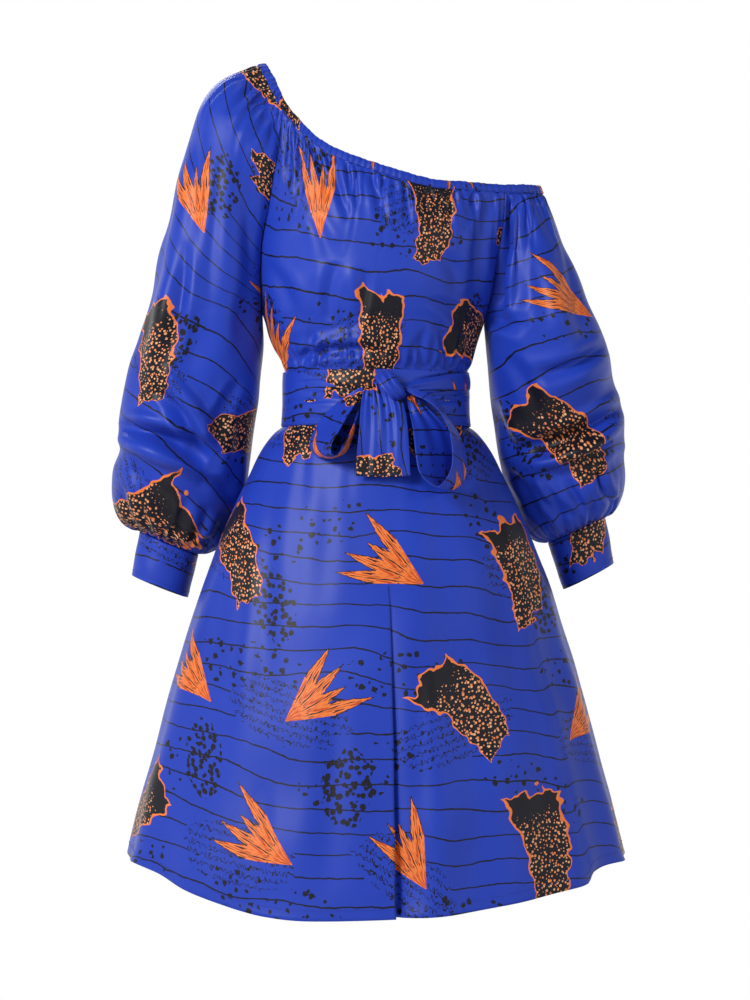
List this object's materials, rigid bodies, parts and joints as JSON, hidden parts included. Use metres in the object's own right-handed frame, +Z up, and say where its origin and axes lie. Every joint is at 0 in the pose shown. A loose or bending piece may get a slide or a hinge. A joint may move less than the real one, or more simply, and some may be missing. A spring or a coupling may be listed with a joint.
{
  "type": "one-shoulder dress with a sash",
  "caption": "Hollow, filled-out one-shoulder cotton dress with balloon sleeves, elastic neckline, flared skirt and a sash tied in a bow; it is carried on one shoulder.",
  "frame": {"origin": "the point under the top of the covered shoulder where the wearer's shoulder carries the dress", "axes": "+Z up along the garment, +X across the front towards the bare shoulder, -Y out of the front"},
  "size_m": [0.6525, 0.4423, 1.0323],
  "materials": {
    "printed_cotton": "satin",
    "elastic_casing": "satin"
  },
  "bodies": {
    "root": {"bodice_front": "printed_cotton", "bodice_back": "printed_cotton", "skirt_front": "printed_cotton", "skirt_back": "printed_cotton", "sleeve_left": "printed_cotton", "sleeve_right": "printed_cotton", "cuff_left": "printed_cotton", "cuff_right": "printed_cotton", "neck_casing": "elastic_casing", "sash_band": "printed_cotton", "sash_fold": "printed_cotton", "bow_knot": "printed_cotton", "bow_loop_left": "printed_cotton", "bow_loop_right": "printed_cotton", "sash_tail": "printed_cotton"}
  },
  "joints": []
}
